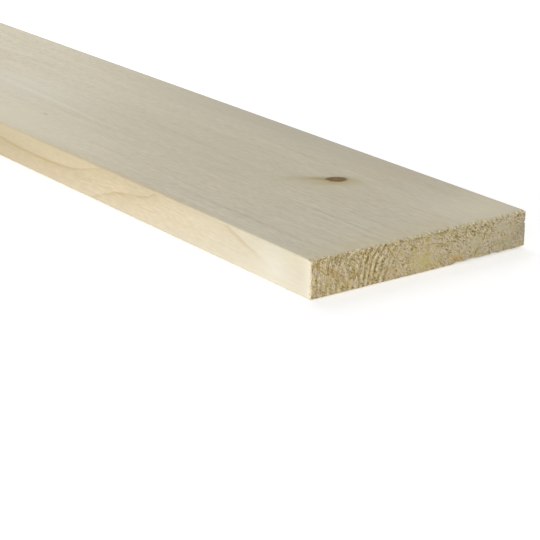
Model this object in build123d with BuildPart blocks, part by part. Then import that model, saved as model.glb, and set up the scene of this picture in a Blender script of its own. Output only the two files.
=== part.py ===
from build123d import *

import os

# A planed softwood plank, lying flat on one of its broad faces.
# It is one sawn piece: a straight stick with one section from end to end.
# The origin is the centre of the underside, +X runs along the grain,
# +Y across the width and +Z up. Sizes are in millimetres.

# Driving dimensions of the dressed plank
plank_length = 1800.0
plank_width = 145.0
plank_thickness = 21.0

# Radius by which the planer eases the four long arrises.
# The ends are cross-cut square afterwards, so their own edges stay sharp.
arris_radius = 1.0

# The section stands on the plane of one cross-cut end, with its base on the floor.
first_end = Plane.YZ.offset(-plank_length / 2)

with BuildPart() as plank:
    with BuildSketch(first_end) as dressed_section:
        Rectangle(plank_width, plank_thickness, align=(Align.CENTER, Align.MIN))
        fillet(dressed_section.vertices(), radius=arris_radius)
    extrude(amount=plank_length)

plank.part.label = "plank"

os.makedirs("parts", exist_ok=True)
export_step(plank.part, "parts/plank.step")
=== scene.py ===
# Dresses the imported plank: one planed spruce board with sawn ends, and the stage that it is shown on.
# Everything is in the CAD frame: metres, origin at the centre of the underside, +X along the grain,
# +Y across the width, +Z up. The plank is worked out in millimetres and scaled once, as its mesh is
# made. The sawn end at +X is its front end, and the long edge at -Y is its near one.

from functools import partial
from types import SimpleNamespace

import bpy
import numpy as np
from bpy.props import FloatProperty, FloatVectorProperty, IntProperty, PointerProperty
from mathutils import Matrix, Vector


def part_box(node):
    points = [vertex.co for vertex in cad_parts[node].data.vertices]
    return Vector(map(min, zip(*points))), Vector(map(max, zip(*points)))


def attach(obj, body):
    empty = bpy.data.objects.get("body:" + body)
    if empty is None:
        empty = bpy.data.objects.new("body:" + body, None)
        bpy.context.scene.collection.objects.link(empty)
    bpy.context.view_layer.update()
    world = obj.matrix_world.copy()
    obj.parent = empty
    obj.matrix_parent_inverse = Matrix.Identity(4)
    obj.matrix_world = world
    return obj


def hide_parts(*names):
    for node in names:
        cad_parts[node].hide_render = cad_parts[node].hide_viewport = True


bl_info = {
    "name": "Planed Spruce Plank",
    "version": (1, 0, 0),
    "blender": (4, 5, 0),
    "location": "3D View > Sidebar > Plank",
    "description": "Builds a planed spruce plank with sawn ends around its CAD solid, and a plain stage",
    "category": "Add Mesh",
}

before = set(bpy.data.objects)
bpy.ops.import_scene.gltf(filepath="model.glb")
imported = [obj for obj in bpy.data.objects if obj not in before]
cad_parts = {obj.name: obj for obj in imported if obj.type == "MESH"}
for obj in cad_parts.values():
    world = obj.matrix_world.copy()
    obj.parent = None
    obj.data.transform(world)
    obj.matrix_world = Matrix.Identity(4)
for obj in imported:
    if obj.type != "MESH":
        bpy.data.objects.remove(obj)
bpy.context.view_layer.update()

MM = 0.001
NODE = "plank"
LOW, HIGH = (np.array(corner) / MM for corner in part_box(NODE))
LENGTH, WIDTH, THICKNESS = (float(size) for size in HIGH - LOW)
END = LENGTH / 2
SIDE = WIDTH / 2

# The pith lies below the plank, so its rings stand in the section as arches. They run flatter on the
# far side of it, where a distance across counts for this share. The count of rings is shifted by a
# share of one, and wavers by this many mm. The pith wanders by half as many as WANDER to each side.
PITH_Y = 16.0
PITH_Z = -16.0
FLATTER = 0.8
RING_SHIFT = 0.57
RING_WAVER = 0.7
WANDER = 26.0

# The torn strands of the sawn ends stand steeper than the rings, round a centre of their own. Their
# arc is measured at one radius, and the scratches of the saw are turned by this many degrees.
STRAND_Y = -3.0
STRAND_Z = 1.0
STRAND_RING = 3.4
STRAND_RADIUS = 45.0
SAW_TURN = 36.0

# The sawn ends lie this far inside the ideal ones, on the whole, and their relief fades over this
# depth. The far part of the lower rim is torn over a depth of its own, from this place across.
SETBACK = 0.48
RELIEF_DEPTH = 3.0
TEAR_REACH = 7.0
TEAR_FROM = 20.0

# Rounding of the sawn corners, and how far from a side its points still move in with it
NEAR_ROUND = 0.6
FAR_ROUND = 0.25
LOWER_ROUND = 0.35
UPPER_ROUND = 0.3
DRAWN_REACH = 4.0
LOWER_REACH = 6.0

# A slow swell of the whole end, which keeps it from being flat
SWELL = 0.08

# Mesh: size of a cell of the sawn ends, cells over a rounded corner, how far from an end the skin
# keeps that fineness, and one point in how many stays in the flats beyond
CELL = 0.4
CORNER_CELLS = 3
FINE_REACH = 11.0
KEPT_EVERY = 4

# Stations of the mesh, in mm from an end, and to either side of a knot
END_STATIONS = (0, 0.15, 0.35, 0.6, 0.9, 1.3, 1.9, 2.7, 3.8, 5.2, 7.2, 10, 14, 20, 28, 38, 50)
KNOT_STATIONS = (0.0, 1.3, 2.6, 3.9, 5.2, 6.6, 8.0, 9.6)

# Elsewhere they are this far apart, and this far clear of the back end, the front end and a knot
PLAIN_STEP = 62.0
BACK_CLEAR = 75.0
FRONT_CLEAR = 60.0
KNOT_CLEAR = 20.0

# Unwrapping: margin and gap between strips in UV units, and in mm a strip's spare border and the
# least length that a station gets
UV_MARGIN = 0.005
UV_GAP = 0.006
STRIP_SPARE = 2.0
LEAST_LENGTH = 0.8

# Knots, in mm: where the branch starts, as deep as the pith, where it comes out of a face, and its
# radius there. All start with one radius. Distances from a knot, in its radii, are capped.
KNOTS = (
    ((777.7, -2.0, PITH_Z), (796.9, 23.9, THICKNESS), 4.4),
    ((330.0, 6.0, PITH_Z), (338.0, -31.0, THICKNESS), 3.6),
    ((-140.0, 8.0, PITH_Z), (-128.0, 44.0, THICKNESS), 5.6),
    ((-140.0, 8.0, PITH_Z), (-152.0, -SIDE, 9.0), 4.6),
    ((-590.0, 10.0, PITH_Z), (-602.0, -8.0, THICKNESS), 4.8),
)
KNOT_START = 0.4
KNOT_FARTHEST = 9.0

# A planed knot stands proud in a shallow trough, in mm, and the grain parts this far round it
KNOT_PROUD = 0.12
KNOT_TROUGH = 0.06
KNOT_PARTING = (24.0, 15.0, 60.0)

# How far, in mm, the whorls of branches draw the rings out: place along the length, and bulge there
BULGE_LIMIT = 12.0
BULGE = (
    (-900, 2.6), (-820, 1.2), (-740, 1.6), (-680, 3.4), (-630, 7.6), (-596, 9.4), (-560, 7.4),
    (-500, 3.0), (-430, 1.4), (-330, 0.6), (-240, 1.6), (-190, 4.8), (-140, 9.8), (-95, 6.4),
    (-40, 2.2), (60, 0.4), (160, 0.9), (250, 2.8), (300, 5.6), (334, 6.8), (370, 5.2), (420, 2.2),
    (500, 0.5), (560, 0.9), (583, 0.65), (627, 0.0), (652, 0.15), (677, 1.05), (697, 2.8),
    (709, 3.75), (720, 4.65), (732, 5.25), (741, 5.7), (751, 6.45), (757, 7.1), (762, 8.2),
    (776, 9.0), (793, 9.3), (812, 8.8), (826, 8.0), (835, 7.1), (851, 5.5), (862, 4.45), (900, 1.4),
)

# How strongly the rings show on the near face: place along the length, and share there
NEAR_SHOWN = (
    (-900, 0.8), (500, 0.8), (560, 1.0), (640, 0.85), (680, 0.5), (720, 0.38), (760, 0.36), (800, 0.34),
    (830, 0.36), (848, 0.28), (860, 0.12), (870, 0.03), (900, 0.02),
)


def linear(code):
    """An sRGB hex colour as the four linear numbers that a shader takes."""
    shares = [int(code[i : i + 2], 16) / 255 for i in (1, 3, 5)]
    return [s / 12.92 if s <= 0.04045 else ((s + 0.055) / 1.055) ** 2.4 for s in shares] + [1.0]


def step(low, high, value):
    """A smooth rise from 0 at low to 1 at high: the cubic 3t^2 - 2t^3."""
    t = np.clip((value - low) / (high - low), 0.0, 1.0)
    return t * t * (3 - 2 * t)


def lump(value, centre, spread):
    """A bell curve, 1 at its centre and falling to 1/e at one spread from it."""
    return np.exp(-(((value - centre) / spread) ** 2))


def grit(u, v, step_u, step_v, seed):
    """Random heights from -1 to 1 at the points of a lattice, blended between them by cubic steps."""
    table = np.random.default_rng(seed).uniform(-1.0, 1.0, (256, 256))
    column, row = np.floor(u / step_u), np.floor(v / step_v)
    s, t = step(0, 1, u / step_u - column), step(0, 1, v / step_v - row)
    c, r = column.astype(int), row.astype(int)
    low = table[c % 256, r % 256] * (1 - s) + table[(c + 1) % 256, r % 256] * s
    high = table[c % 256, (r + 1) % 256] * (1 - s) + table[(c + 1) % 256, (r + 1) % 256] * s
    return low * (1 - t) + high * t


def strand_place(y, z):
    """Distance from the strands' centre, a little wavy, and arc from straight above it, in mm."""
    y, z = y - STRAND_Y, z - STRAND_Z
    return np.hypot(y, z) + grit(y, z, 7, 6, 3), STRAND_RADIUS * np.arctan2(y, z)


def pushed(distance, depth, reach):
    """How far a side moves in: depth at the side itself, fading to nothing at reach from it."""
    return depth * np.clip(1 - distance / reach, 0, 1) ** 2


def eased(d, radius):
    """How far a corner rounded to a radius has drawn in at a distance d from its end."""
    left = np.clip(radius - d, 0, radius)
    return radius - np.sqrt(radius**2 - left**2)


def section_grid(arris):
    """The plank's section as a grid of points, y and z in mm, with its four corners rounded.

    Along each axis the grid has equal cells over the flat, and a few, whose share e goes from 0 to
    1, over each rounded corner. There e_y and e_z are drawn onto a quarter disc:
    y = r e_y sqrt(1 - e_z^2 / 2) and z = r e_z sqrt(1 - e_y^2 / 2) from the corner's centre."""
    corner = np.arange(1, CORNER_CELLS + 1) / CORNER_CELLS

    def axis(half):
        flat = half - arris
        middle = np.linspace(-flat, flat, int(round(2 * flat / CELL)) + 1)
        place = np.concatenate([np.full(CORNER_CELLS, -flat), middle, np.full(CORNER_CELLS, flat)])
        share = np.concatenate([-corner[::-1], np.zeros(len(middle)), corner])
        return place, share

    (cy, ey), (cz, ez) = axis(SIDE), axis(THICKNESS / 2)
    y = cy[:, None] + arris * ey[:, None] * np.sqrt(1 - ez[None, :] ** 2 / 2)
    z = cz[None, :] + arris * ez[None, :] * np.sqrt(1 - ey[:, None] ** 2 / 2)
    return y, z + THICKNESS / 2


def border(columns, rows):
    """Grid indices of the border, anticlockwise as seen from +X, starting at the near lower corner."""
    index = np.arange(columns * rows).reshape(columns, rows)
    return np.concatenate([index[:-1, 0], index[-1, :-1], index[:0:-1, -1], index[0, :0:-1]])


def thinned(columns, rows):
    """Which points of the border a plain stretch keeps, and for each point the nearest kept one.

    Some points of the flats stay, evenly spaced, and every point of the rounded corners."""

    def kept_of(count):
        place = np.arange(count)
        flat_start, flat_end = CORNER_CELLS, count - 1 - CORNER_CELLS
        return ((place - flat_start) % KEPT_EVERY == 0) | (place < flat_start) | (place >= flat_end)

    across, up = np.divmod(border(columns, rows), rows)
    level = (up == 0) | (up == rows - 1)
    kept = np.flatnonzero(np.where(level, kept_of(columns)[across], kept_of(rows)[up]))
    count = len(across)
    far = np.abs(np.arange(count)[:, None] - np.append(kept, count))
    return kept, far.argmin(1) % len(kept)


def stations():
    """Places along the length in mm: crowded at both ends and round the knots, wide apart elsewhere."""
    close, beside = np.array(END_STATIONS), np.array(KNOT_STATIONS)
    upper = np.array([tip[0] for root, tip, radius in KNOTS if tip[2] == THICKNESS])[:, None]
    knots = np.concatenate([upper - beside, upper + beside]).ravel()
    plain = np.arange(BACK_CLEAR - END, END - FRONT_CLEAR, PLAIN_STEP)
    plain = plain[np.abs(plain - upper).min(0) > KNOT_CLEAR]
    return np.unique(np.concatenate([close - END, END - close, knots, plain]))


# How torn a sawn end is: places across it in mm, and the share there in its upper and its lower half
TORN_AT = (-72, -54, -40, -29, -17, -4, 6, 16, 30, 44, 56, 72)
TORN_UPPER = (0.85, 1.1, 1.1, 1.1, 0.75, 0.8, 0.55, 0.75, 0.9, 0.95, 0.9, 0.65)
TORN_LOWER = (0.8, 0.9, 0.8, 0.95, 0.7, 0.42, 0.35, 0.6, 0.6, 0.62, 0.5, 0.35)

# Patches that the saw left smoother: place across and up, reach across and up, and share taken off
SMOOTHER = ((37.0, 9.4, 4.5, 3.0, 0.6), (56.5, 14.3, 6.5, 3.0, 0.8))

# Heights in mm of the four patterns of torn fibres: strands, scratches, even grit and ridges. Where
# there are strands, the even grit is lower by the last of these.
STRAND_HEIGHT = 0.08
SCRATCH_HEIGHT = 0.07
GRIT_HEIGHT = 0.11
RIDGE_HEIGHT = 0.09
GRIT_LOWER = 0.06


def sawn_relief(y, z, seed, front):
    """Height in mm of the torn fibres of a cross-cut end, how torn it is, and the share of strands.

    Four patterns are added: ridges of the dense wood, where the blade came in; strands that follow
    the rings there; scratches that slope down across the end, as the blade passed; and even grit."""
    rho, turn = strand_place(y, z)
    side = y if front else -y
    slope = np.radians(SAW_TURN)
    down, over = y * np.cos(slope) - z * np.sin(slope), y * np.sin(slope) + z * np.cos(slope)
    # How torn: a share by place, made uneven, more beside both rims and less in the smoother patches
    level = step(7, 15, z)
    torn = np.interp(side, TORN_AT, TORN_LOWER) * (1 - level) + np.interp(side, TORN_AT, TORN_UPPER) * level
    torn *= 1 + (0.6 - 0.25 * step(-10, -26, side)) * grit(down, over, 5, 3, seed + 5)
    torn += 0.45 * np.exp((z - THICKNESS) / 1.3) + 0.25 * np.exp(-z / 1.2)
    for across, up, wide, tall, share in SMOOTHER:
        torn -= share * lump(side, across, wide) * lump(z, up, tall)
    torn = np.clip(torn, 0.12, 1.3)
    # The strands lie in the near half, outside their innermost rings
    strands = step(13, 24, rho) * step(2, -10, side) * (1 - 0.4 * step(-38, -52, side))
    ridges = np.cos(2 * np.pi * rho / STRAND_RING) * (0.55 + grit(y, z, 2.8, 2.8, seed + 7))
    ridges *= 0.7 * lump(side, -29, 9) + 0.75 * strands
    along = grit(rho, turn, 0.8, 1.8, seed) + 0.5 * grit(rho, turn, 1.6, 3.6, seed + 1)
    scratch = grit(down, over, 2.4, 0.8, seed + 6)
    even = grit(y, z, 0.8, 0.8, seed + 2) + 0.5 * grit(y, z, 1.7, 1.4, seed + 3)
    fine = STRAND_HEIGHT * strands * along + SCRATCH_HEIGHT * scratch
    fine += (GRIT_HEIGHT - GRIT_LOWER * strands) * even + RIDGE_HEIGHT * ridges
    return torn * fine, torn, strands


def worn(x, y, z, settings):
    """Moves the points of the ideal bar to those of the sawn plank.

    With them it gives four values for each: its relief, how torn it is, its share of strands and
    how bruised it is. Beside an end, each side is pushed in by its eased corner and by chips, and
    bruised, out to a ragged reach: grit along the rim, widest at the near upper corner. Both fade
    with the distance d from the end. The upper rim is worn down in tufts, most towards the far side,
    and wood is torn from the far part of the lower one. The end itself is set back, less its relief."""
    made = np.zeros((len(x), 4))
    for front, seed in ((True, settings.grit_seed), (False, settings.grit_seed + 50)):
        here = (x > 0) == front
        px, py, pz = np.abs(x[here]), y[here], z[here]
        side, none = py if front else -py, py * 0
        d = END - px
        height, torn, strands = sawn_relief(py, pz, seed, front)
        swell = SWELL * grit(py, pz, 11, 8, seed + 4)
        near, far, below, above = side + SIDE, SIDE - side, pz, THICKNESS - pz
        # The reach in mm: ragged, short on the near face, and long beside its upper corner
        ragged = np.abs(grit(side + pz, none, 1.1, 1, seed + 11))
        reach = 0.55 + 1.5 * ragged + 0.5 * np.abs(grit(side + pz, none, 4.3, 1, seed + 12))
        reach = np.where(near < np.minimum(above, below), 0.3 * reach + 0.9 * lump(pz, 4.5, 3), reach)
        reach = reach + 3.2 * lump(side, -SIDE - 1, 11) * step(2, 0, above) * step(0, 0.6, near)
        fade = np.exp(-((d / reach) ** 2))
        # What the saw bites off each side, in bites, and the wood torn from below, in mm
        bite = settings.chip_depth * fade
        tufted = 0.6 + 1.3 * step(-60, 10, side) + grit(side, none, 1.0, 1, seed + 13)
        tufted = tufted + 0.7 * grit(side, none, 2.7, 1, seed + 16) * step(30, -20, side)
        chip_near = 0.4 + 0.7 * grit(pz, none, 1.9, 1, seed + 14) + 1.2 * lump(pz, 4.5, 2.5)
        chip_far = 0.6 * ragged + front * 1.5 * lump(pz, 14.6, 0.7)
        from_below = settings.tear_depth * (0.9 + 0.3 * grit(side, none, 1.9, 1, seed + 15))
        from_below *= step(TEAR_FROM, TEAR_FROM + 4, side) * np.exp(-((d / TEAR_REACH) ** 2))
        # The sides are drawn in, and then the end
        drawn = pushed(near, eased(d, NEAR_ROUND) + chip_near * bite, DRAWN_REACH)
        drawn = drawn - pushed(far, eased(d, FAR_ROUND) + chip_far * bite, DRAWN_REACH)
        y[here] += drawn if front else -drawn
        lifted = eased(d, LOWER_ROUND) + (0.2 + 0.7 * ragged) * bite + from_below
        z[here] += pushed(below, lifted, LOWER_REACH)
        z[here] -= pushed(above, eased(d, UPPER_ROUND) + tufted * bite, DRAWN_REACH)
        deep = np.clip(1 - d / RELIEF_DEPTH, 0, 1)
        px = px - (SETBACK - height - swell) * deep
        x[here] = px if front else -px
        made[here] = np.stack([height * deep, torn * deep, strands, step(1.25, 0.6, d / reach)], -1)
    return x, y, z, made


def knot_relief(x, y, z):
    """The planed knots of the upper face: hard wood stands proud, in a shallow trough.

    The share is the distance from the branch's axis over its radius there, so 1 at its rim."""
    point = np.stack([x, y, z], -1)
    upper = step(THICKNESS - 2, THICKNESS - 0.5, z)
    for root, tip, radius in KNOTS:
        if tip[2] < THICKNESS:
            continue
        branch = np.subtract(tip, root)
        length = np.linalg.norm(branch)
        off = point - root
        run = off @ branch / length
        off = np.linalg.norm(off - run[:, None] * branch / length, axis=1)
        share = off / np.maximum(radius * run / length + KNOT_START, KNOT_START)
        raised = KNOT_PROUD * step(1.15, 0.8, share) - KNOT_TROUGH * lump(share, 1.35, 0.3)
        z = z + raised * upper
    return z


def skin(rings, nearest):
    """Faces between neighbouring rings of points, as quads and triangles.

    A thinned ring is spread over its full neighbour, each point on the nearest kept one, and a quad
    whose side has shrunk to a point becomes a triangle."""
    quads, triangles = [], []
    for back, front in zip(rings[:-1], rings[1:]):
        if len(back) != len(front):
            back = back[nearest] if len(back) < len(front) else back
            front = front[nearest] if len(front) < len(back) else front
        faces = np.stack([back, np.roll(back, -1), np.roll(front, -1), front], -1)
        low, high = faces[:, 0] == faces[:, 1], faces[:, 2] == faces[:, 3]
        quads.append(faces[~low & ~high])
        triangles += [faces[low][:, [0, 2, 3]], faces[high][:, [0, 1, 2]]]
    return np.concatenate(quads), np.concatenate(triangles)


def cap_faces(columns, rows):
    """The quads of a grid of points, wound to face -X and to face +X."""
    grid = np.arange(columns * rows).reshape(columns, rows)
    corners = grid[:-1, :-1], grid[:-1, 1:], grid[1:, 1:], grid[1:, :-1]
    back = np.stack(corners, -1).reshape(-1, 4)
    return back, back[:, [0, 3, 2, 1]]


def plank_mesh(settings):
    """One closed skin: the section's border carried along the stations, with a grid over each end."""
    gy, gz = section_grid(settings.arris_radius)
    gy, gz, (columns, rows) = gy.ravel(), gz.ravel(), gy.shape
    edge = border(columns, rows)
    kept, nearest = thinned(columns, rows)
    xs = stations()
    cap = columns * rows
    rounds = [edge if END - abs(x) < FINE_REACH else edge[kept] for x in xs[1:-1]]
    lengths = [len(ring) for ring in rounds]
    x = np.concatenate([np.full(cap, xs[0]), np.full(cap, xs[-1]), np.repeat(xs[1:-1], lengths)])
    picked = np.concatenate([np.arange(cap), np.arange(cap)] + rounds)
    flat = np.stack([x, gy[picked], gz[picked]], -1)
    x, y, z = flat.T.copy()
    z = knot_relief(x, y, z)
    x, y, z, made = worn(x, y, z, settings)

    starts = 2 * cap + np.cumsum([0] + lengths)
    rings = [edge] + [np.arange(i, j) for i, j in zip(starts[:-1], starts[1:])] + [edge + cap]
    quads, triangles = skin(rings, nearest)
    back, front = cap_faces(columns, rows)

    mesh = bpy.data.meshes.new("planed_plank")
    points = np.stack([x, y, z], -1) * MM
    groups = (triangles, quads, back, front + cap)
    mesh.from_pydata(points.tolist(), [], sum((group.tolist() for group in groups), []))
    mesh.polygons.foreach_set("use_smooth", np.ones(len(mesh.polygons), bool))
    planed, sawn = 0, 1
    slots = np.repeat([planed, planed, sawn, sawn], [len(group) for group in groups])
    mesh.polygons.foreach_set("material_index", slots)
    strand = np.stack([*strand_place(flat[:, 1], flat[:, 2]), flat[:, 0]], -1)
    for name, kind, key, values in (
        ("torn", "FLOAT_VECTOR", "vector", made[:, :3]),
        ("bruise", "FLOAT", "value", made[:, 3]),
        ("strand_place", "FLOAT_VECTOR", "vector", strand),
    ):
        mesh.attributes.new(name, kind, "POINT").data.foreach_set(key, values.astype(np.float32).ravel())
    unwrap(mesh, flat, groups, xs)
    mesh.validate()
    mesh.update()
    return mesh


def unwrap(mesh, flat, groups, xs):
    """Lays the skin flat for baking: each long face in two halves, strip above strip, then both ends.

    Along a strip, u grows with the length, and by a least step a station. Across it, v grows with
    the way round the section. The ends are drawn larger, because their figure is finer."""
    walk = np.concatenate([[0], np.cumsum(np.maximum(np.diff(xs), LEAST_LENGTH))])
    half = walk[len(xs) // 2]
    scale = (1 - 2 * UV_MARGIN) / max(half, walk[-1] - half)
    heights = (np.repeat([WIDTH, THICKNESS], 4) + 2 * STRIP_SPARE) * scale + UV_GAP
    strips = UV_MARGIN + np.concatenate([[0], np.cumsum(heights)])
    maps = []
    for corner in (flat[group] for group in groups[:2]):
        middle = corner.mean(1)
        off_y = np.abs(middle[:, 1]) - SIDE
        off_z = np.abs(middle[:, 2] - THICKNESS / 2) - THICKNESS / 2
        narrow = off_z <= off_y
        outer = np.where(narrow, middle[:, 1] > 0, middle[:, 2] > THICKNESS / 2)
        along = np.interp(corner[:, :, 0], xs, walk)
        late = along.mean(1) > half
        y, z = corner[:, :, 1], corner[:, :, 2] - THICKNESS / 2
        across_broad = y + np.sign(y) * (THICKNESS / 2 - np.abs(z)) + SIDE
        across_narrow = z + np.sign(z) * (SIDE - np.abs(y)) + THICKNESS / 2
        across = np.where(narrow[:, None], across_narrow, across_broad)
        strip = strips[4 * narrow + 2 * outer + late]
        u = UV_MARGIN + (along - np.where(late, half, 0)[:, None]) * scale
        maps.append(np.stack([u, strip[:, None] + (across + STRIP_SPARE) * scale], -1).reshape(-1, 2))
    base = strips[-1]
    room = (1 - UV_MARGIN - base) / 2 - UV_GAP
    scale = min((1 - 2 * UV_MARGIN) / WIDTH, room / THICKNESS)
    for group in groups[2:]:
        corner = flat[group].reshape(-1, 3)
        maps.append(np.stack([UV_MARGIN + (corner[:, 1] + SIDE) * scale, base + corner[:, 2] * scale], -1))
        base += THICKNESS * scale + UV_GAP
    layer = mesh.uv_layers.new(name="OFBake")
    layer.data.foreach_set("uv", np.concatenate(maps).astype(np.float32).ravel())


SMOOTH = {"interpolation_type": "SMOOTHSTEP"}

# Marks on the upper face: x and y in mm, turn in degrees, reach along and across, strength, colour
TOP_MARKS = (
    (792.9, 18.7, 54.0, 3.6, 2.8, 0.85, "#8c744a"),  # streak of bark beside the knot
    (789.3, 16.0, 54.0, 6.5, 3.0, 0.85, "#a18c56"),
    (800.7, 18.3, 54.0, 13.0, 5.2, 0.66, "#b8a25c"),  # resin round the knot
    (802.2, 30.1, 54.0, 4.5, 3.8, 0.50, "#c4ad72"),
    (782.8, 8.3, 54.0, 11.0, 6.0, 0.42, "#b8ae74"),
    (781.2, 21.2, -5.0, 5.5, 1.0, 0.60, "#ded3ba"),  # pale grain that parts at the knot
    (817.5, 17.6, -3.0, 8.0, 1.0, 0.35, "#dcd3bb"),
    (580.4, -38.1, 0.0, 2.8, 1.4, 0.55, "#8f7a55"),  # fleck
    (557.0, -16.7, -2.7, 78.0, 1.5, 0.55, "#eae3d0"),  # pale streak
    (500.0, -10.0, -2.7, 70.0, 1.8, 0.16, "#b9ac88"),
    (855.0, -19.5, 0.0, 50.0, 1.1, 0.20, "#a8976c"),  # thin dark lines of the grain
    (876.0, -6.5, 0.0, 32.0, 1.0, 0.17, "#a8976c"),
    (826.0, -57.0, 0.0, 62.0, 1.1, 0.20, "#a8976c"),
    (876.0, 26.0, 5.0, 26.0, 1.2, 0.20, "#a8976c"),
    (742.0, 40.0, -4.0, 46.0, 1.2, 0.16, "#a8976c"),
    (690.0, 4.0, -3.0, 60.0, 1.4, 0.15, "#a8976c"),
    (640.0, -48.0, -1.0, 70.0, 1.3, 0.15, "#a8976c"),
    (690.0, 12.0, 0.0, 140.0, 52.0, 0.42, "#c4bc9e"),  # duller round the knot
    (800.0, 57.0, 0.0, 27.0, 13.0, 0.32, "#d6c19c"),  # warmer between it and the far corner
    (570.0, -58.0, 0.0, 120.0, 26.0, 0.60, "#ede5cb"),  # paler along the near corner
    (505.0, -8.0, 0.0, 75.0, 24.0, 0.45, "#eae5d6"),
    (675.0, 70.0, 0.0, 180.0, 24.0, 0.72, "#c0b7a2"),  # painted shade: duller along the far corner, which the lamps light less
    (884.0, 54.0, 0.0, 26.0, 32.0, 0.66, "#ede4c8"),
    (894.0, -24.0, 0.0, 13.0, 56.0, 0.32, "#e3d2a0"),  # warmer beside the saw cut
)

# Marks on the near face, most of them painted light and shade: x, z, reach along and up, strength, colour
NEAR_MARKS = (
    (540.0, 10.0, 110.0, 40.0, 0.60, "#bfae88"),  # painted shade: duller along the near face, farther from the key lamp
    (899.0, 10.0, 5.0, 30.0, 0.55, "#f0e7d6"),  # painted highlight: the near face whiter beside the saw cut, where it is lit most
    # painted highlight as well, a little farther from the saw cut
    (869.0, 9.0, 15.0, 9.0, 0.38, "#f2ebe0"),
    (750.0, 1.0, 220.0, 6.0, 0.27, "#f2ebdb"),  # painted light: paler low on the near face, as if lit from the floor below
    # painted shade: duller high on the near face
    (700.0, 20.0, 130.0, 4.0, 0.25, "#c4b087"),
)

# Patches on the front end: y, z, reach across and up, strength, colour
END_MARKS = (
    (12.5, 19.8, 5.0, 1.5, 0.90, "#8f8434"),
    (0.5, 7.0, 6.5, 3.6, 0.65, "#d3c578"),
    (-18.0, 9.0, 5.0, 4.0, 0.40, "#cabb9c"),
    (36.5, 10.2, 4.0, 2.0, 0.65, "#d2ccaa"),
    (30.0, 5.8, 4.5, 2.2, 0.45, "#cfc8a2"),
    (56.5, 14.4, 5.5, 2.4, 0.65, "#cfc8aa"),
    (SIDE, 11.0, 2.2, 14.0, 0.60, "#98917a"),
    (58.0, 5.5, 8.0, 3.0, 0.50, "#b8b08c"),
    (68.0, 10.5, 4.5, 6.0, 0.60, "#ad9d86"),
    (-50.0, 18.8, 15.0, 2.2, 0.42, "#a08950"),
    (-4.0, 19.4, 8.0, 1.2, 0.35, "#a08950"),
    (-67.5, 17.0, 3.2, 2.4, 0.50, "#ba8f55"),
    (-60.0, 12.5, 4.0, 2.6, 0.50, "#b88b4f"),
    (-59.5, 17.5, 3.4, 2.2, 0.45, "#c6b79b"),
    (-65.0, 3.5, 4.5, 2.4, 0.40, "#c3b396"),
    (-71.8, 4.5, 1.3, 4.0, 0.60, "#e0c8a4"),
    (-53.0, 7.5, 2.6, 2.2, 0.45, "#b38852"),
    (-44.5, 9.0, 2.6, 3.0, 0.40, "#b88e58"),
    (-48.5, 13.0, 3.2, 4.0, 0.35, "#cdbfa0"),
    (-37.0, 15.0, 3.4, 3.2, 0.50, "#a98346"),
    (-33.5, 5.0, 4.0, 4.0, 0.30, "#bd9a56"),
    (24.0, 3.0, 4.0, 2.2, 0.65, "#cba052"),
    (15.0, 3.4, 1.8, 1.2, 0.55, "#a98648"),
    (4.8, 14.2, 1.0, 0.9, 0.60, "#9d8450"),
    (67.0, 19.2, 3.2, 1.1, 0.65, "#b2904a"),
)

# How far, in mm, a mark on each of the three faces reaches into the wood
TOP_DEPTH = 9.0
NEAR_DEPTH = 1.2
END_DEPTH = 60.0


def add(tree, kind, *inputs, out=0, points=(), **settings):
    """Adds one node and gives back one of its outputs.

    Inputs are values or sockets in order, or dictionaries that name theirs. Points are the places
    that a curve goes through, from 0 to 1 both ways."""
    node = tree.nodes.new("ShaderNode" + kind)
    for name, value in settings.items():
        setattr(node, name, value)
    given = {}
    for number, value in enumerate(inputs):
        given.update(value if isinstance(value, dict) else {number: value})
    for key, value in given.items():
        if isinstance(value, bpy.types.NodeSocket):
            tree.links.new(value, node.inputs[key])
        else:
            node.inputs[key].default_value = value
    if points:
        curve = node.mapping.curves[0]
        curve.points[0].location, curve.points[1].location = points[0], points[-1]
        for place in points[1:-1]:
            curve.points.new(*place)
        node.mapping.update()
    return node.outputs[out] if node.outputs else node


def emptied(block):
    """The node tree of a new material or world, without the nodes that it starts with."""
    block.use_nodes = True
    block.node_tree.nodes.clear()
    return block.node_tree


def at_length(table, scale=1.0):
    """Points of a curve over the length, each from 0 to 1 both ways, from a table in mm."""
    return [((at + END) / LENGTH, value / scale) for at, value in table]


def nearness(tree, place, centre, turn, reach):
    """Closeness to a spot: exp(-d^2), where d is the distance in reaches, along axes turned about Z."""
    turned = (0.0, 0.0, np.radians(turn))
    local = add(tree, "Mapping", place, centre, turned, reach, vector_type="TEXTURE")
    squared = add(tree, "VectorMath", local, local, operation="DOT_PRODUCT", out="Value")
    return add(tree, "Math", add(tree, "Math", squared, -1.0, operation="MULTIPLY"), operation="EXPONENT")


def lumps(tree, place, size, detail=2.0):
    """Noise from 0 to 1 whose lumps have the given size in mm along each axis."""
    scaled = add(tree, "VectorMath", place, size, operation="DIVIDE")
    return add(tree, "TexNoise", scaled, {"Scale": 1.0, "Detail": detail, "Roughness": 0.55})


def planed_marks():
    """The marks of the upper and the near face, each as centre, turn, reach, strength and colour."""
    for x, y, turn, along, across, strength, colour in TOP_MARKS:
        yield (x, y, THICKNESS), turn, (along, across, TOP_DEPTH), strength, colour
    for x, z, along, up, strength, colour in NEAR_MARKS:
        yield (x, -SIDE, z), 0.0, (along, NEAR_DEPTH, up), strength, colour


def sawn_marks():
    """The patches of the front end, given in the same way."""
    for y, z, across, up, strength, colour in END_MARKS:
        yield (END, y, z), 0.0, (END_DEPTH, across, up), strength, colour


def marked(tree, base, place, marks):
    """The base colour with each of the marks laid over it."""
    for centre, turn, reach, strength, colour in marks:
        near = nearness(tree, place, centre, turn, reach)
        share = add(tree, "Math", near, strength, operation="MULTIPLY")
        base = add(tree, "Mix", {0: share, 6: base, 7: linear(colour)}, data_type="RGBA", out=2)
    return base


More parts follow.
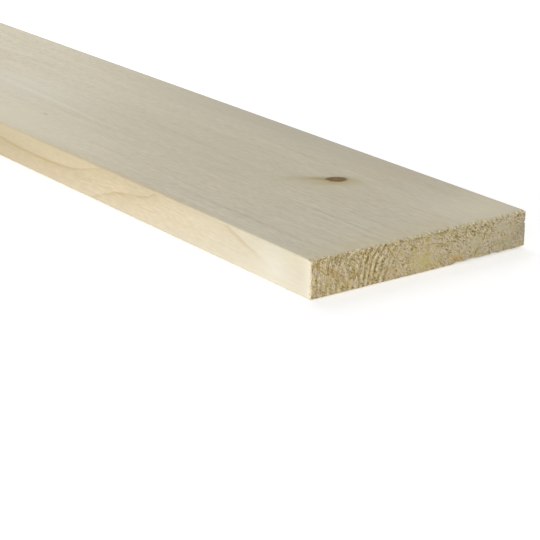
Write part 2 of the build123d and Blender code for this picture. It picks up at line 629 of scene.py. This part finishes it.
def spruce(tree, ring_width):
    """The wood at a point, as sockets: place, grain, along, rings, late, knot and x, y, z.

    The place is in mm. The grain is the same place, pushed aside round the knots. The rings count the
    years: the distance from the pith, squeezed where the rings run flatter, less the bulge, over the
    width of a ring. Late is 1 or more in the dense wood that ends a year. The knot is the distance
    from the heart of the nearest branch, which widens from its root outwards, and is 1 at its rim."""
    n = partial(add, tree)
    place = n("VectorMath", n("TexCoord", out="Object"), {"Scale": 1 / MM}, operation="SCALE")
    x, y, z = n("SeparateXYZ", place).node.outputs
    # The pith wanders, but runs straight towards the front end
    drift = n("Math", lumps(tree, place, (240, 9000, 9000)), 0.5, operation="SUBTRACT")
    free = n("MapRange", x, 480.0, 250.0, 0.0, WANDER, **SMOOTH)
    aside = n("Math", drift, free, n("Math", y, PITH_Y, operation="SUBTRACT"), operation="MULTIPLY_ADD")
    aside = n("Math", aside, n("Math", aside, FLATTER, operation="MULTIPLY"), operation="MINIMUM")
    height = n("Math", z, PITH_Z, operation="SUBTRACT")
    away = n("VectorMath", n("CombineXYZ", 0.0, aside, height), operation="LENGTH", out="Value")
    along = n("MapRange", x, -END, END)
    bulge = n("FloatCurve", {"Value": along}, points=at_length(BULGE, BULGE_LIMIT))
    away = n("Math", bulge, -BULGE_LIMIT, away, operation="MULTIPLY_ADD")
    away = n("Math", lumps(tree, place, (55, 9, 9)), RING_WAVER, away, operation="MULTIPLY_ADD")
    rings = n("Math", n("Math", away, ring_width, operation="DIVIDE"), RING_SHIFT, operation="SUBTRACT")
    knot, shift = KNOT_FARTHEST, 0.0
    for root, tip, radius in KNOTS:
        branch = Vector(tip) - Vector(root)
        from_root = n("VectorMath", place, root, operation="SUBTRACT")
        run = n("VectorMath", from_root, branch, operation="PROJECT")
        off = n("VectorMath", from_root, run, operation="DISTANCE", out="Value")
        run = n("VectorMath", run, operation="LENGTH", out="Value")
        wide = n("Math", run, radius / branch.length, KNOT_START, operation="MULTIPLY_ADD")
        knot = n("Math", n("Math", off, wide, operation="DIVIDE"), knot, operation="MINIMUM")
        if tip[2] == THICKNESS:
            lean = n("Math", y, tip[1], operation="SUBTRACT")
            lean = n("Math", lean, nearness(tree, place, tip, 0.0, KNOT_PARTING), operation="MULTIPLY")
            shift = n("Math", lean, -0.5, shift, operation="MULTIPLY_ADD")
    grain = n("CombineXYZ", x, n("Math", y, shift, operation="ADD"), z)
    phase = n("Math", rings, operation="FRACT")
    edge = n("MapRange", phase, 1.0, 0.965, **SMOOTH)
    # Where in a year the dark line starts: earlier, so the line is broader, towards the front end
    start = n("MapRange", x, 720.0, 790.0, 0.84, 0.73)
    line = n("Math", n("MapRange", phase, start, 0.95, 0.0, 1.0, **SMOOTH), edge, operation="MULTIPLY")
    soft = n("Math", n("MapRange", phase, 0.2, 0.95, 0.0, 0.3, **SMOOTH), edge, operation="MULTIPLY")
    late = n("Math", line, soft, operation="ADD")
    return SimpleNamespace(
        place=place, grain=grain, along=along, rings=rings, late=late, knot=knot, x=x, y=y, z=z
    )


def planed_spruce(settings):
    """Planed spruce, pale and matt: fine streaks along the grain, tan latewood lines and brown knots.

    The planer leaves earlywood open and dull and latewood a little smoother. On the broad faces the
    light washes the lines out, and they show best on the narrow ones. The thinnest fibres are drawn
    1 mm wide, coarser than real ones, so that they show."""
    material = bpy.data.materials.new("planed_spruce")
    tree = emptied(material)
    n = partial(add, tree)
    wood = spruce(tree, settings.ring_width)
    # How far a point belongs to the broad faces and to the near one, and the patterns of the grain
    low_face = n("MapRange", wood.z, 1.5, 0.5, **SMOOTH)
    broad = n("MapRange", wood.z, THICKNESS - 1.5, THICKNESS - 0.5, **SMOOTH)
    broad = n("Math", broad, low_face, operation="MAXIMUM")
    near_face = n("MapRange", wood.y, -66.0, -71.5, **SMOOTH)
    streak = lumps(tree, wood.grain, (70, 1.9, 1.9), 3.0)
    fibre = lumps(tree, wood.grain, (7, 1.1, 1.1), 1.0)
    cloud = lumps(tree, wood.place, (26, 7, 7), 2.0)
    flow = lumps(tree, wood.grain, (80, 5, 5), 1.0)

    # Each year's line has its own strength, and on the near face those inside the seventeenth are
    # faint towards the front end
    year = n("TexWhiteNoise", {"W": n("Math", wood.rings, operation="FLOOR")}, noise_dimensions="1D")
    strength = n("MapRange", year, 0.0, 1.0, 0.7, 1.0)
    shown = n("FloatCurve", {"Value": wood.along}, points=at_length(NEAR_SHOWN))
    inner = n("MapRange", wood.rings, 16.95, 17.1, 0.15, 1.0, **SMOOTH)
    inner = n("Math", inner, n("MapRange", wood.x, 640.0, 560.0, **SMOOTH), operation="MAXIMUM")
    shown = n("Math", shown, inner, operation="MULTIPLY")
    shown = n("MapRange", near_face, 0.0, 1.0, 1.0, shown)
    strength = n("Math", strength, shown, operation="MULTIPLY")
    # On the broad faces the lines are broken up by the streaks, and fainter towards the front end
    washed = n("MapRange", wood.x, 120.0, 380.0, 0.28, 0.08, **SMOOTH)
    washed = n("Math", washed, n("MapRange", streak, 0.35, 0.65, 0.3, 1.7), operation="MULTIPLY")
    strength = n("Math", strength, n("MapRange", broad, 0.0, 1.0, 0.9, washed), operation="MULTIPLY")
    late = n("Math", wood.late, strength, operation="MULTIPLY")

    # Yellower patches, and a yellower near face, but not beside the front end, where the pale near face is
    # a painted highlight of the brightly lit corner
    patches = n("MapRange", lumps(tree, wood.place, (240, 30, 30)), 0.35, 0.7, 0.0, 0.15, **SMOOTH)
    flank = n("MapRange", wood.x, END, 690.0, 0.04, 0.7, **SMOOTH)
    flank = n("Math", flank, near_face, operation="MULTIPLY")
    yellow = n("Math", patches, flank, operation="MAXIMUM")
    pale, tan = list(settings.pale_colour), list(settings.yellow_colour)
    base = n("Mix", {0: yellow, 6: pale, 7: tan}, data_type="RGBA", out=2)
    base = n("Mix", {0: late, 6: base, 7: list(settings.latewood_colour)}, data_type="RGBA", out=2)
    shade = n("Math", n("Math", streak, 0.5, operation="SUBTRACT"), 0.2, 1.0, operation="MULTIPLY_ADD")
    shade = n("Math", n("Math", fibre, 0.5, operation="SUBTRACT"), 0.4, shade, operation="MULTIPLY_ADD")
    shade = n("Math", n("Math", cloud, 0.5, operation="SUBTRACT"), 0.14, shade, operation="MULTIPLY_ADD")
    shade = n("Math", n("Math", flow, 0.5, operation="SUBTRACT"), 0.16, shade, operation="MULTIPLY_ADD")
    # The streaks fade on the near face beside the front end
    calm = n("Math", n("MapRange", wood.x, 740.0, 850.0, 0.0, 0.6), near_face, operation="MULTIPLY")
    shade = n("MapRange", calm, 0.0, 1.0, shade, 1.0)
    base = n("VectorMath", base, {"Scale": shade}, operation="SCALE")
    base = marked(tree, base, wood.place, planed_marks())

    # Round a knot lies a halo of resin, and its own rim is uneven
    halo = n("MapRange", wood.knot, 2.0, 1.0, 0.0, 0.3, **SMOOTH)
    base = n("Mix", {0: halo, 6: base, 7: list(settings.halo_colour)}, data_type="RGBA", out=2)
    uneven = n("Math", lumps(tree, wood.place, (3.0, 3.0, 9.0)), 0.5, operation="SUBTRACT")
    knot = n("Math", uneven, 0.5, wood.knot, operation="MULTIPLY_ADD")
    core = n("MapRange", knot, 1.2, 0.8, **SMOOTH)
    # Inside it has fine years of its own, and it is pale at its heart and darker towards its rim
    years = n("Math", n("Math", knot, 17.0, operation="MULTIPLY"), operation="SINE")
    heart = n("MapRange", knot, 0.0, 0.9, 1.1, 0.85)
    heart = n("Math", n("MapRange", wood.knot, 0.05, 0.22, 0.6, 0.0), heart, operation="ADD")
    heart = n("Math", n("MapRange", fibre, 0.3, 0.7, -0.12, 0.12), heart, operation="ADD")
    heart = n("Math", years, 0.1, heart, operation="MULTIPLY_ADD")
    heart = n("VectorMath", list(settings.knot_colour)[:3], {"Scale": heart}, operation="SCALE")
    base = n("Mix", {0: core, 6: base, 7: heart}, data_type="RGBA", out=2)

    # Bruised fibres beside the saw cut
    specks = n("MapRange", lumps(tree, wood.place, (0.8, 0.8, 0.8), 1.0), 0.35, 0.65, **SMOOTH)
    bruised = n("Mix", {0: specks, 6: linear("#c4b080"), 7: linear("#efe3bd")}, data_type="RGBA", out=2)
    bruise = n("Math", n("Attribute", attribute_name="bruise", out="Fac"), 0.85, operation="MULTIPLY")
    base = n("Mix", {0: bruise, 6: base, 7: bruised}, data_type="RGBA", out=2)

    # Fibres as fine relief, latewood a little smoother, and knots a little less glossy
    raised = n("Math", fibre, streak, operation="ADD")
    bump = n("Bump", {"Strength": 0.7, "Distance": 0.08 * MM, "Height": raised})
    rough = n("MapRange", late, 0.0, 1.0, 0.78, 0.62)
    gloss = n("MapRange", core, 0.0, 1.0, 0.5, 0.35)
    shader = n(
        "BsdfPrincipled",
        {"Base Color": base, "Roughness": rough, "IOR": 1.5, "Specular IOR Level": gloss, "Normal": bump},
    )
    n("OutputMaterial", {"Surface": shader})
    return material


def sawn_spruce(settings):
    """Cross-cut spruce, rough from the saw: tan and gritty, with painted shade in its pits and a painted
    highlight on its tufts.

    The mesh holds the torn fibres, and its torn attribute places the painted shade of the pits and the
    painted highlight of the tufts, together with finer grit along the strands and the scratches. Single
    fibres, 0.03 mm thick, are drawn 0.5 mm wide and more, so that they show."""
    material = bpy.data.materials.new("sawn_spruce_end")
    tree = emptied(material)
    n = partial(add, tree)
    place = n("VectorMath", n("TexCoord", out="Object"), {"Scale": 1 / MM}, operation="SCALE")
    y = n("SeparateXYZ", place, out=1)
    relief = n("Attribute", attribute_name="torn", out="Vector")
    height, torn, strands = n("SeparateXYZ", relief).node.outputs
    strand = n("Attribute", attribute_name="strand_place", out="Vector")
    turned = n("Mapping", place, (0.0, 0.0, 0.0), (np.radians(SAW_TURN), 0.0, 0.0))
    even = lumps(tree, place, (4, 0.55, 0.55), 1.0)
    scratch = lumps(tree, turned, (4, 2.2, 0.55), 1.0)
    fibre = lumps(tree, strand, (0.6, 1.7, 40), 1.0)
    cloud = lumps(tree, turned, (30, 11, 5), 2.0)
    bloom = lumps(tree, turned, (30, 5, 3.5), 1.0)

    # The level of a point: the mesh's own relief, and fine grit that is stronger where the end is torn
    level = n("Mix", {0: 0.5, 2: even, 3: scratch})
    level = n("Mix", {0: n("Math", strands, 0.55, operation="MULTIPLY"), 2: level, 3: fibre})
    level = n("Math", level, 0.5, operation="SUBTRACT")
    depth = n("Math", torn, 0.25, operation="ADD")
    level = n("Math", n("Math", level, depth, operation="MULTIPLY"), 1.7, height, operation="MULTIPLY_ADD")

    # Tan at the near side and greyer at the far one, in clouds, with rosy and olive patches
    greyer = n("MapRange", y, -45.0, 60.0, 0.0, 0.8)
    greyer = n("Math", n("Math", cloud, 0.5, operation="SUBTRACT"), 1.6, greyer, operation="MULTIPLY_ADD")
    tan, grey = list(settings.end_colour), list(settings.end_grey)
    # The dark colour serves the latewood lines and the painted shade of the pits, and the tuft colour is a
    # painted highlight
    dark, tuft = list(settings.end_dark_and_pit_shade), list(settings.tuft_highlight_colour)
    base = n("Mix", {0: n("Clamp", greyer), 6: tan, 7: grey}, data_type="RGBA", out=2)
    rosy = n("MapRange", bloom, 0.51, 0.66, 0.0, 0.6, **SMOOTH)
    olive = n("MapRange", bloom, 0.49, 0.34, 0.0, 0.6, **SMOOTH)
    base = n("Mix", {0: rosy, 6: base, 7: linear("#dac7b4")}, data_type="RGBA", out=2)
    base = n("Mix", {0: olive, 6: base, 7: linear("#bfae74")}, data_type="RGBA", out=2)
    base = marked(tree, base, place, sawn_marks())

    # Dark lines along the strands, then painted shade in the pits and painted highlights on the tufts
    rings = n("Math", n("SeparateXYZ", strand), STRAND_RING, operation="DIVIDE")
    phase = n("Math", rings, operation="FRACT")
    year = n("TexWhiteNoise", {"W": n("Math", rings, operation="FLOOR")}, noise_dimensions="1D")
    late = n("MapRange", phase, 0.2, 0.45, **SMOOTH)
    late = n("Math", late, n("MapRange", phase, 0.8, 0.6, **SMOOTH), operation="MULTIPLY")
    late = n("Math", late, n("MapRange", year, 0.0, 1.0, 0.25, 1.0), operation="MULTIPLY")
    late = n("Math", late, n("MapRange", fibre, 0.38, 0.62, 0.1, 1.5), operation="MULTIPLY")
    late = n("Math", late, n("MapRange", strands, 0.0, 1.0, 0.06, 0.55), operation="MULTIPLY")
    base = n("Mix", {0: late, 6: base, 7: dark}, data_type="RGBA", out=2)
    # Painted shade darkens the low places, and a painted highlight lightens the high ones
    pits = n("MapRange", level, -0.03, -0.24, 0.0, 0.85, **SMOOTH)
    tufts = n("MapRange", level, 0.03, 0.24, 0.0, 0.7, **SMOOTH)
    base = n("Mix", {0: pits, 6: base, 7: dark}, data_type="RGBA", out=2)
    base = n("Mix", {0: tufts, 6: base, 7: tuft}, data_type="RGBA", out=2)

    # The level as fine relief, and pits duller than tufts
    bump = n("Bump", {"Strength": 0.8, "Distance": 0.4 * MM, "Height": level})
    rough = n("MapRange", level, -0.2, 0.2, 0.95, 0.8)
    shader = n("BsdfPrincipled", {"Base Color": base, "Roughness": rough, "IOR": 1.5, "Normal": bump})
    n("OutputMaterial", {"Surface": shader})
    return material


class PlankSettings(bpy.types.PropertyGroup):
    """Sizes and colours of the dressed plank."""

    arris_radius: FloatProperty(
        name="Arris radius", description="Rounding of the long corners, in mm", default=1.0
    )
    chip_depth: FloatProperty(
        name="Chip depth", description="Bite of the saw into the end's corners, in mm", default=0.4
    )
    tear_depth: FloatProperty(
        name="Tear depth", description="Wood torn from the lower corner, in mm", default=0.9
    )
    grit_seed: IntProperty(name="Grit seed", description="Chooses the pattern of torn fibres", default=11)
    ring_width: FloatProperty(name="Ring width", description="Width of a year's ring, in mm", default=4.75)
    pale_colour: FloatVectorProperty(
        name="Earlywood", description="Pale planed wood",
        subtype="COLOR", size=4, default=linear("#dbd3bc"),
    )
    yellow_colour: FloatVectorProperty(
        name="Yellower wood", description="Yellower planed wood",
        subtype="COLOR", size=4, default=linear("#d8c39b"),
    )
    latewood_colour: FloatVectorProperty(
        name="Latewood", description="Dark line at the end of a ring",
        subtype="COLOR", size=4, default=linear("#b89d66"),
    )
    knot_colour: FloatVectorProperty(
        name="Knot", description="Planed knot",
        subtype="COLOR", size=4, default=linear("#71551b"),
    )
    halo_colour: FloatVectorProperty(
        name="Knot halo", description="Resinous wood round a knot",
        subtype="COLOR", size=4, default=linear("#b8a373"),
    )
    end_colour: FloatVectorProperty(
        name="Sawn end", description="Cross-cut wood",
        subtype="COLOR", size=4, default=linear("#dcc796"),
    )
    end_grey: FloatVectorProperty(
        name="Sawn end, grey", description="Greyer cross-cut wood",
        subtype="COLOR", size=4, default=linear("#d1c5a6"),
    )
    # Colour of the dark lines along the strands, and the painted shade of the pits
    end_dark_and_pit_shade: FloatVectorProperty(
        name="Pits", description="Shaded pits of the sawn end",
        subtype="COLOR", size=4, default=linear("#83703f"),
    )
    # A painted highlight on the raised tufts of the sawn end
    tuft_highlight_colour: FloatVectorProperty(
        name="Tufts", description="Pale torn fibres",
        subtype="COLOR", size=4, default=linear("#f3e7bb"),
    )


class StageSettings(bpy.types.PropertyGroup):
    """Camera, lamps and floor."""

    camera_place: FloatVectorProperty(
        name="Camera", description="Where the camera stands", subtype="TRANSLATION", unit="LENGTH",
        default=(1.5810, -0.6027, 0.3198),
    )
    camera_forward: FloatVectorProperty(
        name="Camera forward", description="The way the camera looks", subtype="DIRECTION",
        default=(-0.75759, 0.56194, -0.33208),
    )
    camera_right: FloatVectorProperty(
        name="Camera right", description="The way to the picture's right", subtype="DIRECTION",
        default=(0.59261, 0.80541, 0.01094),
    )
    lens: FloatProperty(
        name="Lens", description="Focal length on a 36 mm sensor", unit="CAMERA", default=124.31
    )
    key_power: FloatProperty(
        name="Key lamp", description="Power of the low lamp at the near side", unit="POWER", default=15.5
    )
    back_power: FloatProperty(
        name="Back lamp", description="Power of the lamp behind", unit="POWER", default=5.5
    )
    top_power: FloatProperty(
        name="Top lamp", description="Power of the lamp overhead", unit="POWER", default=2.7
    )
    ambient: FloatProperty(name="Room light", description="Light from all round", default=0.385)


# Floor, in metres: half its side. What the camera sees of it is filled up by a glow, which is weak
# beside the plank, so that its shadow shows, and whole farther off.
FLOOR_HALF = 60.0
GLOW_WEAK = 0.49
GLOW_WEAK_TO = 0.08
GLOW_WHOLE_FROM = 0.5

# Lamps, in metres: name, setting that holds its power, place, point that it faces, width and height
SOFTBOXES = (
    ("key_softbox", "key_power", (1.44, -1.30, 0.17), (0.75, 0.0, 0.01), 1.4, 0.30),
    ("back_softbox", "back_power", (-0.70, 1.30, 0.75), (0.20, 0.0, 0.01), 1.4, 0.7),
    ("top_softbox", "top_power", (0.05, 0.15, 0.70), (0.05, 0.15, 0.0), 1.0, 0.6),
)

# Width of the camera's sensor, in mm
SENSOR_WIDTH = 36.0


def white_paper():
    """Matt white paper, with a glow that only the camera sees and that grows away from the plank.

    It grows with the distance from the footprint: how far a point lies past half the length and past
    half the width, each at least 0, as one length."""
    material = bpy.data.materials.new("white_paper")
    n = partial(add, emptied(material))
    diffuse = n("BsdfDiffuse", linear("#f4f4f4"))
    off = n("VectorMath", n("TexCoord", out="Object"), operation="ABSOLUTE")
    off = n("VectorMath", off, (END * MM, SIDE * MM, 0.0), operation="SUBTRACT")
    off = n("VectorMath", off, (0.0, 0.0, 0.0), operation="MAXIMUM")
    off = n("VectorMath", off, operation="LENGTH", out="Value")
    filled = n("MapRange", off, GLOW_WEAK_TO, GLOW_WHOLE_FROM, GLOW_WEAK, 1.0, **SMOOTH)
    seen = n("LightPath", out="Is Camera Ray")
    glow = n("Emission", {"Strength": n("Math", seen, filled, operation="MULTIPLY")})
    n("OutputMaterial", {"Surface": n("AddShader", diffuse, glow)})
    return material


def white_floor():
    """A level square under the plank, at height zero."""
    corners = [(i * FLOOR_HALF, j * FLOOR_HALF, 0) for i, j in ((-1, -1), (1, -1), (1, 1), (-1, 1))]
    mesh = bpy.data.meshes.new("floor")
    mesh.from_pydata(corners, [], [(0, 1, 2, 3)])
    mesh.materials.append(white_paper())
    return bpy.data.objects.new("floor", mesh)


def white_room(settings):
    """A white room that lights the plank from all round, and looks pure white itself."""
    world = bpy.data.worlds.new("white_room")
    n = partial(add, emptied(world))
    rays = n("LightPath").node.outputs
    shown = n("Math", rays["Is Camera Ray"], rays["Is Glossy Ray"], operation="MAXIMUM")
    shown = n("Math", shown, rays["Is Transmission Ray"], operation="MAXIMUM")
    power = n("MapRange", shown, 0.0, 1.0, settings.ambient, 1.0)
    n("OutputWorld", {"Surface": n("Background", {"Strength": power, "Color": (1, 1, 1, 1)})})
    return world


def softbox(name, power, place, target, wide, tall):
    """A soft rectangular lamp at a place, turned to face the target."""
    lamp = bpy.data.lights.new(name, "AREA")
    lamp.shape = "RECTANGLE"
    lamp.size = wide
    lamp.size_y = tall
    lamp.energy = power
    box = bpy.data.objects.new(name, lamp)
    box.location = Vector(place)
    box.rotation_mode = "QUATERNION"
    box.rotation_quaternion = (Vector(target) - box.location).to_track_quat("-Z", "Y")
    box.visible_camera = False
    return box


def photo_camera(settings):
    """The camera: it looks forward, and its right is made square to that."""
    data = bpy.data.cameras.new("camera")
    data.sensor_width = SENSOR_WIDTH
    data.lens = settings.lens
    camera = bpy.data.objects.new("camera", data)
    forward = Vector(settings.camera_forward).normalized()
    right = Vector(settings.camera_right)
    right = (right - forward * right.dot(forward)).normalized()
    turn = Matrix((right, right.cross(forward), -forward)).transposed()
    camera.matrix_world = Matrix.Translation(settings.camera_place) @ turn.to_4x4()
    return camera


class PLANK_OT_dress(bpy.types.Operator):
    """Builds the planed and sawn plank over its CAD solid"""

    bl_idname = "plank.dress"
    bl_label = "Dress plank"

    def execute(self, context):
        settings = context.scene.plank_settings
        mesh = plank_mesh(settings)
        mesh.materials.append(planed_spruce(settings))
        mesh.materials.append(sawn_spruce(settings))
        piece = bpy.data.objects.new("planed_plank", mesh)
        context.scene.collection.objects.link(piece)
        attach(piece, "root")
        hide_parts(NODE)
        return {"FINISHED"}


class PLANK_OT_stage(bpy.types.Operator):
    """Sets a white floor, soft studio light and the camera"""

    bl_idname = "plank.stage"
    bl_label = "Set stage"

    def execute(self, context):
        settings = context.scene.stage_settings
        scene = context.scene
        scene.view_settings.view_transform = "Standard"
        floor = white_floor()
        scene.collection.objects.link(floor)
        scene.world = white_room(settings)
        for name, power, place, target, wide, tall in SOFTBOXES:
            box = softbox(name, getattr(settings, power), place, target, wide, tall)
            scene.collection.objects.link(box)
        camera = photo_camera(settings)
        scene.collection.objects.link(camera)
        scene.camera = camera
        return {"FINISHED"}


class PLANK_PT_panel(bpy.types.Panel):
    """Lists the operators in the sidebar"""

    bl_idname = "PLANK_PT_panel"
    bl_label = "Planed Spruce Plank"
    bl_space_type = "VIEW_3D"
    bl_region_type = "UI"
    bl_category = "Plank"

    def draw(self, context):
        self.layout.operator(PLANK_OT_stage.bl_idname)
        self.layout.operator(PLANK_OT_dress.bl_idname)


CLASSES = (PlankSettings, StageSettings, PLANK_OT_dress, PLANK_OT_stage, PLANK_PT_panel)


def register():
    for cls in CLASSES:
        bpy.utils.register_class(cls)
    bpy.types.Scene.plank_settings = PointerProperty(type=PlankSettings)
    bpy.types.Scene.stage_settings = PointerProperty(type=StageSettings)


def unregister():
    del bpy.types.Scene.stage_settings
    del bpy.types.Scene.plank_settings
    for cls in reversed(CLASSES):
        bpy.utils.unregister_class(cls)


def main():
    register()
    bpy.ops.plank.stage()
    bpy.ops.plank.dress()


if __name__ == "__main__":
    main()
